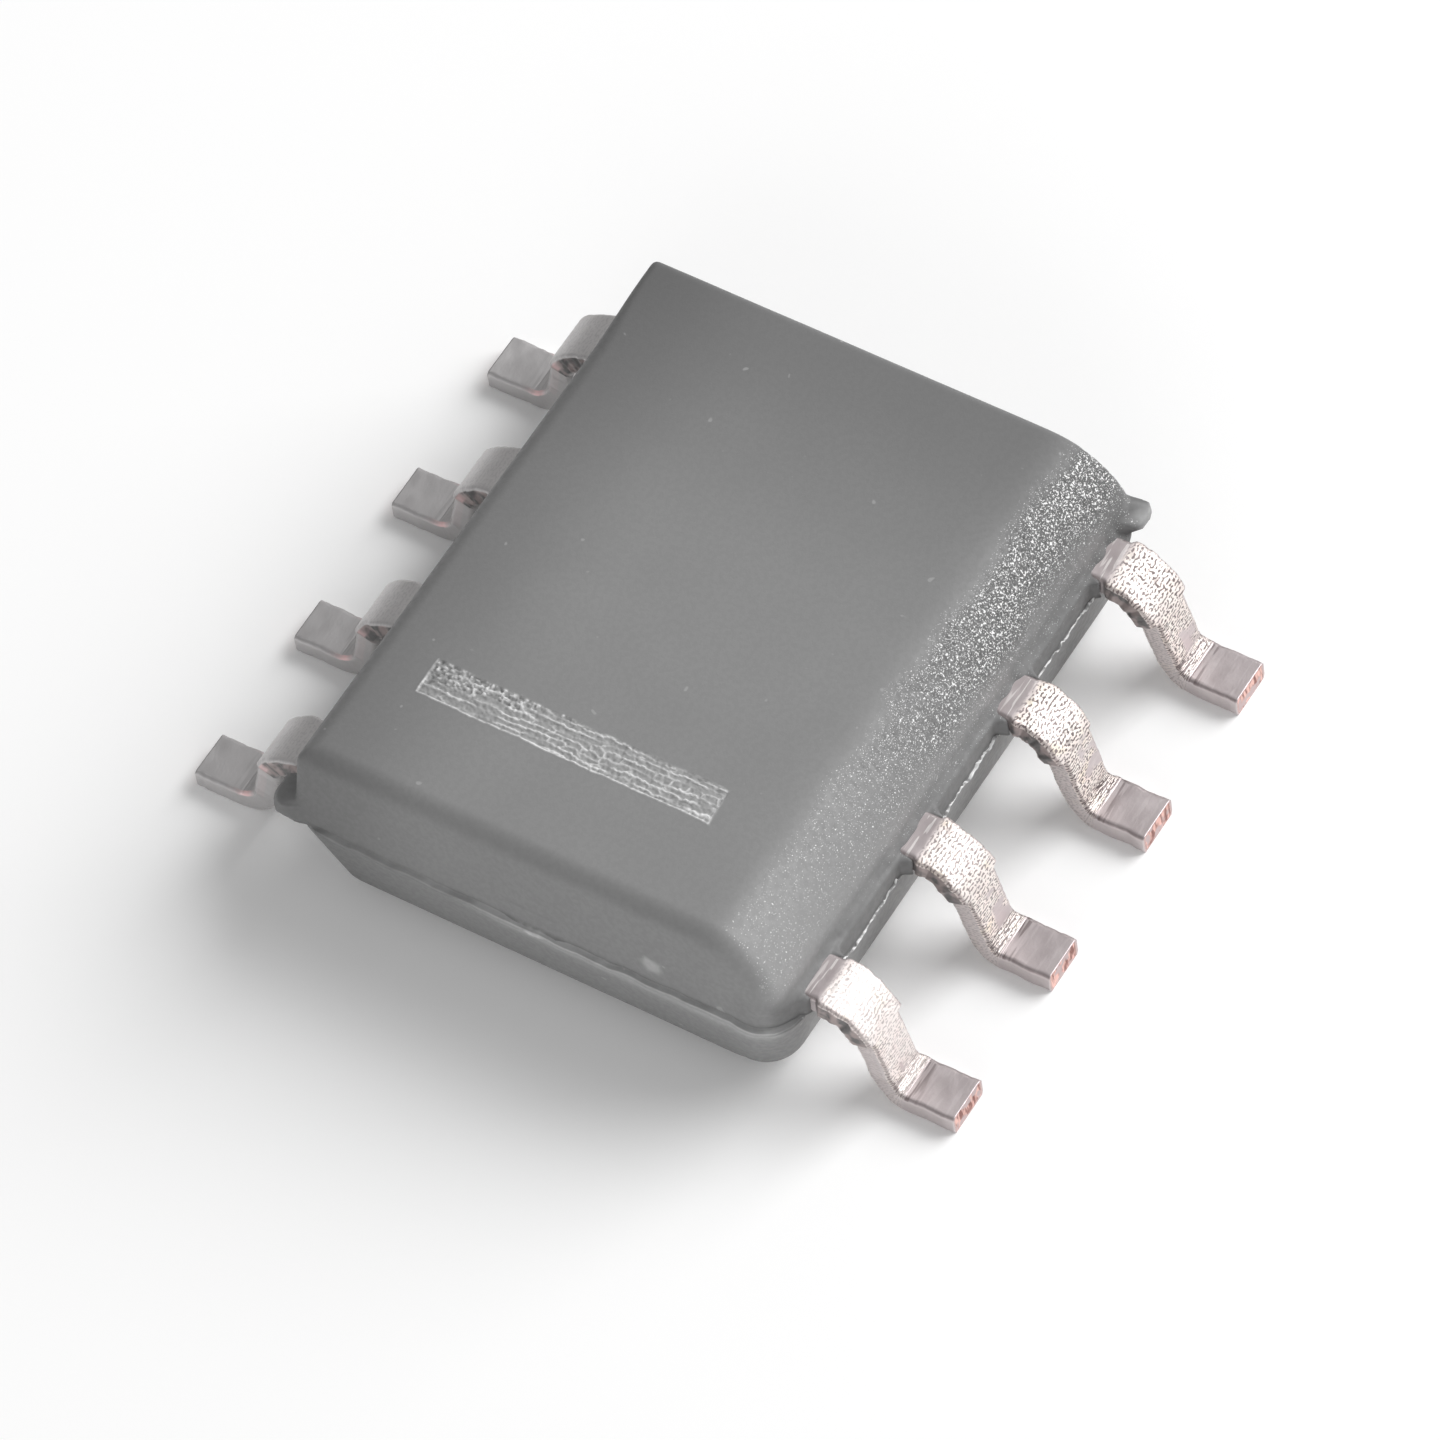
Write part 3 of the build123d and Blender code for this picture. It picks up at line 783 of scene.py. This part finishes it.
def lead(number, material):
    """A stamped, bent and tin-plated lead, with rolled upper edges, wrinkled bends and sheared ends."""
    far = number > 4
    step = 8 - number if far else number - 1
    x = (step - 1.5) * PITCH * (1 if far else -1)
    seed = 100 + 10 * number
    finger_start = CORNER_FINGER_START if abs(x) > PITCH else MIDDLE_FINGER_START
    y, z, direction, distance, bent = lead_line(finger_start)
    (left, right), stubs = lead_widths(x, y, bent, distance, seed)
    share, level, out_x, out_n, radius, kind = section_points()
    rings, columns = shape = len(y), len(share)

    # Rings of the section, in across and normal coordinates
    inner_left, inner_right = left[:, None] + radius, right[:, None] - radius
    across = inner_left + (inner_right - inner_left) * share + out_x * radius
    half = THICKNESS / 2
    rolled = half - radius + out_n * radius
    normal = np.where(kind == 1, (half - radius) * level, np.where(kind == 2, -half, rolled))

    # Relief, in a flattened frame: across, along, and a third number for the face
    along = np.broadcast_to(distance[:, None], shape)
    face = np.broadcast_to(kind, shape) + 5 * number
    flattened = np.column_stack([across.ravel(), along.ravel(), face.ravel()])

    def layers(cells, layer):
        return fractal(flattened, cells, seed + layer, 2).reshape(shape)

    patch = fade(-0.12, 0.12, layers((0.20, 0.11, 1), 3))
    outside = fade(BODY_HALF_WIDTH - 0.02, BODY_HALF_WIDTH + 0.08, y)[:, None]
    rough = crinkles(far, bent, share, kind, patch) * outside
    ripple = 1 - np.abs(noise3(flattened, (0.075, 0.026, 1), seed + 4).reshape(shape)) * 2
    dimples = noise3(flattened, (0.032, 0.024, 1), seed + 6).reshape(shape)
    relief = rough * (0.0012 * ripple + 0.0018 * dimples) + 0.0022 * layers((0.16, 0.13, 1), 7) * outside
    stub = np.where(across < x, stubs[0][:, None], stubs[1][:, None]) * (kind == 1)
    stub_lumps = stub * 0.010 * layers((0.05, 0.045, 0.02), 8)
    pinch = 0.0035 * np.exp(-((bent - 2 * TURN + 0.03) / 0.05) ** 2)[:, None]
    normal = normal + relief * out_n - pinch * (out_n > 0.5)
    across = across + (relief * 0.6 + stub_lumps) * out_x
    points = np.stack([
        across,
        y[:, None] + normal * np.sin(direction)[:, None],
        np.maximum(z[:, None] + normal * np.cos(direction)[:, None], 0),
    ], axis=-1).reshape(-1, 3)

    tip = sheared_tip(points[-columns:], x, number, seed)
    points = np.vstack([points, tip])
    last, centre = len(points) - 1 - columns, len(points) - 1
    faces = [face[::-1] for face in grid_faces(rings + CAP_RINGS - 1, columns)]
    faces += [[last + (j + 1) % columns, last + j, centre] for j in range(columns)]
    faces.append(list(range(columns)))

    section = np.stack([across, normal], axis=-1)
    around = np.cumsum(np.linalg.norm(np.diff(section, axis=1, prepend=section[:, :1]), axis=2), axis=1)
    marks = lead_marks(number, distance, bent, level, kind, patch)
    marks["rough"] = rough
    # painted shade where the crinkled relief is low
    marks["painted_crease_shade"] = np.clip(0.5 - 0.5 * dimples - 0.3 * ripple, 0, 1) * rough
    marks["stub"] = np.clip(stub, 0, 1)
    # painted shade along the rolled edges
    marks["edge"] = (2 * out_x * out_n) ** 4
    marks["side"] = (kind == 1) * 1.0
    attributes = {
        name: np.concatenate([np.broadcast_to(mask, shape).ravel(), np.zeros(len(tip))])
        for name, mask in marks.items()
    }
    attributes["tip"] = np.arange(len(points)) >= rings * columns
    attributes["far"] = np.full(len(points), far)
    attributes["around"] = np.concatenate([around.ravel(), tip[:, 0]])
    attributes["along"] = np.concatenate([along.ravel(), tip[:, 2] + 5]) + number * 10
    if not far:
        points = points * (-1, -1, 1)
    piece = make_object(f"plated_lead_{number}", points, faces, material, attributes)
    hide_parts(f"lead_{number}")
    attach(piece, "root")


# Materials
class Recipe:
    """A material and its node tree, with short calls for the nodes that it uses."""

    def __init__(self, name):
        self.material = bpy.data.materials.new(name)
        self.material.use_nodes = True
        self.tree = self.material.node_tree
        self.shader = self.tree.nodes["Principled BSDF"]

    def put(self, socket, value):
        """Link a socket to a node's output, or set it to a value."""
        if isinstance(value, bpy.types.NodeSocket):
            self.tree.links.new(value, socket)
        else:
            socket.default_value = value

    def node(self, kind, inputs=(), **settings):
        """A node of that kind, with its inputs given by name or by place."""
        node = self.tree.nodes.new("ShaderNode" + kind)
        for key, value in settings.items():
            setattr(node, key, value)
        for key, value in dict(inputs).items():
            self.put(node.inputs[key], value)
        return node

    def math(self, operation, a, b=0.0):
        """The result of an operation on two numbers, or on one where it takes no more."""
        return self.node("Math", {0: a, 1: b}, operation=operation).outputs[0]

    def times(self, a, b):
        return self.math("MULTIPLY", a, b)

    def attribute(self, name):
        """The mesh's own number of that name at each point."""
        return self.node("Attribute", attribute_name=name).outputs["Fac"]

    def scaled(self, vector, factors):
        """A vector with each part times its own factor."""
        return self.node("VectorMath", {0: vector, 1: factors}, operation="MULTIPLY").outputs[0]

    def millimetres(self):
        """The object's own coordinates in millimetres."""
        place = self.node("TexCoord").outputs["Object"]
        return self.scaled(place, (1 / MM,) * 3)

    def noise(self, place, scale, detail=2.0):
        """Cloudy noise from 0 to 1, with that many bumps to a millimetre."""
        return self.node("TexNoise", {"Vector": place, "Scale": scale, "Detail": detail}).outputs[0]

    def span(self, value, low, high, out_low=0.0, out_high=1.0):
        """The value carried smoothly from one range to another, and held at its ends."""
        inputs = {"Value": value, "From Min": low, "From Max": high, "To Min": out_low, "To Max": out_high}
        return self.node("MapRange", inputs, interpolation_type="SMOOTHSTEP").outputs["Result"]

    def mix(self, factor, a, b, blend="MIX"):
        """A colour between two, or one blended over the other."""
        colours = {0: factor, 6: rgba(a), 7: rgba(b)}
        return self.node("Mix", colours, data_type="RGBA", blend_type=blend).outputs[2]

    def bump(self, height, depth):
        """Relief of that depth in millimetres, for what is finer than the mesh."""
        return self.node("Bump", {"Height": height, "Distance": depth * MM, "Strength": 1.0}).outputs[0]

    def finish(self, **inputs):
        """Set the shader's inputs by name, and give the material."""
        for key, value in inputs.items():
            self.put(self.shader.inputs[key.replace("_", " ")], value)
        return self.material


def rgba(colour):
    """Four numbers for a colour given as one grey or three parts; a socket is passed on."""
    if isinstance(colour, bpy.types.NodeSocket):
        return colour
    parts = (colour,) * 3 if isinstance(colour, float) else colour
    return (*parts, 1.0)


def resin_material():
    """Grey filled epoxy: mottled with painted shade toward +X and +Y, a gritty bevel brightened by painted
    highlights, a crazed index bar, and pale edges of painted light.
    """
    resin = Recipe("mold_resin")
    place = resin.millimetres()

    # Mottled skin with painted shade, drawn darker toward +X and +Y, and a few specks of dust
    x, y = (resin.node("SeparateXYZ", {0: place}).outputs[axis] for axis in (0, 1))
    cloud = resin.noise(place, 1.3, 3.0)
    speckle = resin.noise(place, 24.0, 2.0)
    body = resin.mix(cloud, 0.235, 0.270)
    body = resin.mix(resin.span(speckle, 0.35, 0.65, 0.0, 0.30), body, 0.21)
    body = resin.mix(resin.span(x, 0.1, 2.4, 0.0, 0.36), body, 0.05)
    body = resin.mix(resin.span(y, 0.6, 1.95, 0.0, 0.40), body, 0.05)
    dust = resin.span(resin.noise(place, 11.0, 1.0), 0.75, 0.80, 0.0, 0.5)
    body = resin.mix(dust, body, 0.42)

    # Grains of the bevel: painted shade for dark pits, and painted highlights for the tops that catch the
    # light
    grain_mask = resin.attribute("grain")
    fine, coarse = resin.noise(place, 104.0, 1.0), resin.noise(place, 58.0, 1.0)
    lift = resin.times(grain_mask, 0.085)
    shyness = resin.math("SUBTRACT", 0.13, resin.times(grain_mask, 0.14))
    body = resin.mix(resin.times(resin.times(grain_mask, grain_mask), 0.75), body, 0.09)
    deepest = resin.math("MINIMUM", fine, resin.math("ADD", coarse, shyness))
    painted_pit_shade = resin.span(resin.math("SUBTRACT", deepest, lift), 0.32, 0.20)
    body = resin.mix(resin.times(resin.times(painted_pit_shade, 0.9), grain_mask), body, 0.08)
    highest = resin.math("MAXIMUM", fine, resin.math("SUBTRACT", coarse, shyness))
    painted_peak_highlights = resin.span(resin.math("ADD", highest, lift), 0.68, 0.77)
    body = resin.mix(resin.times(painted_peak_highlights, resin.span(grain_mask, 0.0, 0.12)), body, 0.90)

    # the tone attribute brings in the etching, the smudges, and the painted light and shade of the skin
    body = resin.mix(1.0, body, resin.attribute("tone"), "MULTIPLY")
    finish = resin.span(speckle, 0.3, 0.7, 0.50, 0.62)
    relief = resin.bump(resin.noise(place, 60.0, 2.0), 0.0008)
    return resin.finish(Base_Color=body, Roughness=finish, Normal=relief)


def flash_material():
    """Thin resin flash, in pale and dark patches from noise: the pale is painted light coming through it."""
    flash = Recipe("resin_flash")
    place = flash.millimetres()
    patches = flash.span(flash.noise(place, 14.0, 2.0), 0.34, 0.52)
    colour = flash.mix(patches, 0.26, 0.80)
    return flash.finish(Base_Color=colour, Roughness=0.4)


def tin_material():
    """Matte tin: smooth and pinkish on the flats, white and crinkled on the bends, copper where it is cut."""
    tin = Recipe("tin_plating")
    around, along = tin.attribute("around"), tin.attribute("along")
    flat = tin.node("CombineXYZ", {0: around, 1: along}).outputs[0]
    across = tin.scaled(flat, (0.5, 1.0, 1.0))
    thin = tin.scaled(flat, (0.10, 1.0, 1.0))

    # Smooth flats, with pale scratches by the root and dark wrinkles where the foot starts
    cloud = tin.noise(flat, 5.0, 3.0)
    smooth = tin.mix(cloud, (0.59, 0.515, 0.52), (0.72, 0.665, 0.67))
    scratches = tin.noise(thin, 34.0, 1.0)
    lines = tin.times(tin.span(scratches, 0.56, 0.62), tin.attribute("scratch"))
    smooth = tin.mix(lines, smooth, (1.0, 0.95, 0.94))
    wrinkles = tin.times(tin.span(scratches, 0.52, 0.42), tin.attribute("wrinkle"))
    smooth = tin.mix(tin.times(wrinkles, 0.8), smooth, (0.26, 0.21, 0.21))

    # Crinkled bends: tinted white, with rows of dark dashes, and folds round the heel
    rough = tin.attribute("rough")
    tinted = tin.mix(tin.noise(flat, 12.0, 2.0), (0.95, 0.82, 0.79), (0.91, 0.91, 0.87))
    tinted = tin.mix(tin.span(tin.noise(flat, 7.0, 1.0), 0.58, 0.78, 0.0, 0.5), tinted, (0.96, 0.88, 0.70))
    sway = tin.times(tin.noise(flat, 6.0, 1.0), 9.0)
    row = tin.math("SINE", tin.math("ADD", tin.times(along, 2 * pi / TIN_ROW), sway))
    dashes = tin.math("ADD", tin.noise(across, 84.0, 0.0), tin.times(row, 0.10))
    # painted shade in the low places of the crinkled relief
    painted_crease_shade = tin.span(tin.attribute("painted_crease_shade"), 0.75, 1.0, 0.0, 0.4)
    dark = tin.math("MAXIMUM", tin.span(dashes, 0.47, 0.38, 0.0, 0.9), painted_crease_shade)
    folds = tin.math("ADD", tin.noise(thin, 60.0, 0.0), tin.times(tin.noise(across, 84.0, 0.0), 0.4))
    heel_folds = tin.times(tin.span(folds, 0.71, 0.65), tin.attribute("heel"))
    dark = tin.math("MAXIMUM", dark, tin.times(heel_folds, 0.95))
    # painted glare: the dashes faded and the tin whitened on pins 1 and 2
    painted_glare = tin.attribute("painted_glare")
    dark = tin.times(dark, tin.math("SUBTRACT", 1.0, painted_glare))
    tinted = tin.mix(tin.times(painted_glare, 0.8), tinted, (1.0, 0.95, 0.945))
    crinkled = tin.mix(dark, tinted, (0.16, 0.13, 0.13))

    # Sides, crinkles, rolled edges with painted shade, the far leads greyed as painted shade, sheared stubs
    # and painted pink glints, one over another
    colour = tin.mix(tin.attribute("side"), smooth, tin.mix(cloud, (0.60, 0.54, 0.54), (0.72, 0.67, 0.67)))
    colour = tin.mix(rough, colour, crinkled)
    # painted shade along the rolled edges
    colour = tin.mix(tin.times(tin.attribute("edge"), 0.6), colour, (0.22, 0.17, 0.17))
    broken = tin.mix(tin.span(tin.noise(flat, 9.0, 2.0), 0.42, 0.60), 0.15, (0.44, 0.37, 0.36))
    # painted shade: the far leads drawn greyer
    colour = tin.mix(tin.times(tin.attribute("far"), 0.75), colour, 0.60)
    colour = tin.mix(tin.times(tin.attribute("stub"), 0.85), colour, broken)
    colour = tin.mix(tin.attribute("painted_glint"), colour, (1.0, 0.74, 0.74))

    # Copper and smears of plating over the sheared tip
    tip = tin.attribute("tip")
    sheared = tin.scaled(flat, (1.0, 0.22, 1.0))
    streaks = tin.noise(sheared, 30.0, 2.0)
    copper = tin.mix(tin.span(streaks, 0.38, 0.58), (0.33, 0.17, 0.15), (0.88, 0.60, 0.54))
    copper = tin.mix(tin.span(tin.noise(flat, 11.0, 1.0), 0.50, 0.62), copper, (0.60, 0.50, 0.50))
    colour = tin.mix(tip, colour, copper)
    roughness = tin.mix(rough, tin.span(cloud, 0.3, 0.7, 0.46, 0.54), 0.68)
    relief = tin.bump(tin.noise(across, 60.0, 2.0), 0.0010)
    return tin.finish(Base_Color=colour, Metallic=1.0, Roughness=roughness, Normal=relief)


def inner_material(name, low, high, scale, metallic, roughness):
    """A mottled finish for a piece that the resin hides."""
    inner = Recipe(name)
    colour = inner.mix(inner.noise(inner.millimetres(), scale, 3.0), low, high)
    return inner.finish(Base_Color=colour, Metallic=metallic, Roughness=roughness)


def dress_inner_nodes():
    """Finishes for the die, its paddle and the wires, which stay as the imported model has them."""
    copper = inner_material("copper_alloy", (0.62, 0.36, 0.26), (0.80, 0.52, 0.40), 14.0, 1.0, 0.35)
    epoxy = inner_material("silver_epoxy", 0.42, 0.66, 60.0, 0.6, 0.5)
    silicon = inner_material("silicon", (0.10, 0.11, 0.14), (0.20, 0.21, 0.26), 9.0, 0.6, 0.12)
    gold = inner_material("gold_wire", (0.76, 0.52, 0.16), (0.90, 0.68, 0.30), 30.0, 1.0, 0.22)
    for node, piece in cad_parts.items():
        if node.startswith("bond_wire"):
            piece.data.materials[0] = gold
    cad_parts["die_paddle"].data.materials[0] = copper
    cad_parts["die_attach"].data.materials[0] = epoxy
    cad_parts["silicon_die"].data.materials[0] = silicon


# Camera, floor and light
def place_camera():
    """The camera that looks at the part as the photograph does."""
    data = bpy.data.cameras.new("camera")
    data.lens = CAMERA_LENS
    data.sensor_width = CAMERA_SENSOR
    data.clip_start = 0.001
    data.clip_end = 10
    camera = bpy.data.objects.new("camera", data)
    right, up = Vector(CAMERA_RIGHT), Vector(CAMERA_UP)
    turn = Matrix((right, up, right.cross(up))).transposed().to_4x4()
    camera.matrix_world = Matrix.Translation(Vector(CAMERA_PLACE) * MM) @ turn
    bpy.context.scene.collection.objects.link(camera)
    bpy.context.scene.camera = camera


def area_light(name, place, level):
    """A square lamp that faces the part and gives a level surface there that irradiance."""
    distance = Vector(place).length * MM
    data = bpy.data.lights.new(name, "AREA")
    data.size = LAMP_SIZE * MM
    data.energy = level * pi * distance ** 2 / Vector(place).normalized().z
    lamp = bpy.data.objects.new(name, data)
    lamp.location = Vector(place) * MM
    lamp.rotation_euler = (-Vector(place)).to_track_quat("-Z", "Y").to_euler()
    bpy.context.scene.collection.objects.link(lamp)


def world_light():
    """Even white light from all sides."""
    world = bpy.data.worlds.new("studio")
    world.use_nodes = True
    world.node_tree.nodes["Background"].inputs["Color"].default_value = (1, 1, 1, 1)
    world.node_tree.nodes["Background"].inputs["Strength"].default_value = WORLD_STRENGTH
    bpy.context.scene.world = world


def floor():
    """A wide matte floor that keeps the part's shadow, and shows as white where nothing shades it."""
    recipe = Recipe("floor")
    path = recipe.node("LightPath")
    seen = recipe.math("MAXIMUM", path.outputs["Is Camera Ray"], path.outputs["Is Glossy Ray"])
    seen = recipe.math("MAXIMUM", seen, path.outputs["Is Transmission Ray"])
    glow = recipe.times(seen, FLOOR_GLOW)
    material = recipe.finish(
        Base_Color=rgba(FLOOR_COLOUR), Roughness=1.0, Specular_IOR_Level=0.0,
        Emission_Color=rgba(1.0), Emission_Strength=glow,
    )
    points = np.array([(-1, -1, 0), (1, -1, 0), (1, 1, 0), (-1, 1, 0)]) * FLOOR_HALF
    make_object("floor", points, [(0, 1, 2, 3)], material)


bpy.context.scene.view_settings.view_transform = "Standard"
place_camera()
world_light()
area_light("key", KEY_PLACE, KEY_LEVEL)
area_light("fill", FILL_PLACE, FILL_LEVEL)
floor()
dress_inner_nodes()
mold_body(resin_material())
parting_flash(flash_material())
tin = tin_material()
for number in range(1, 9):
    lead(number, tin)
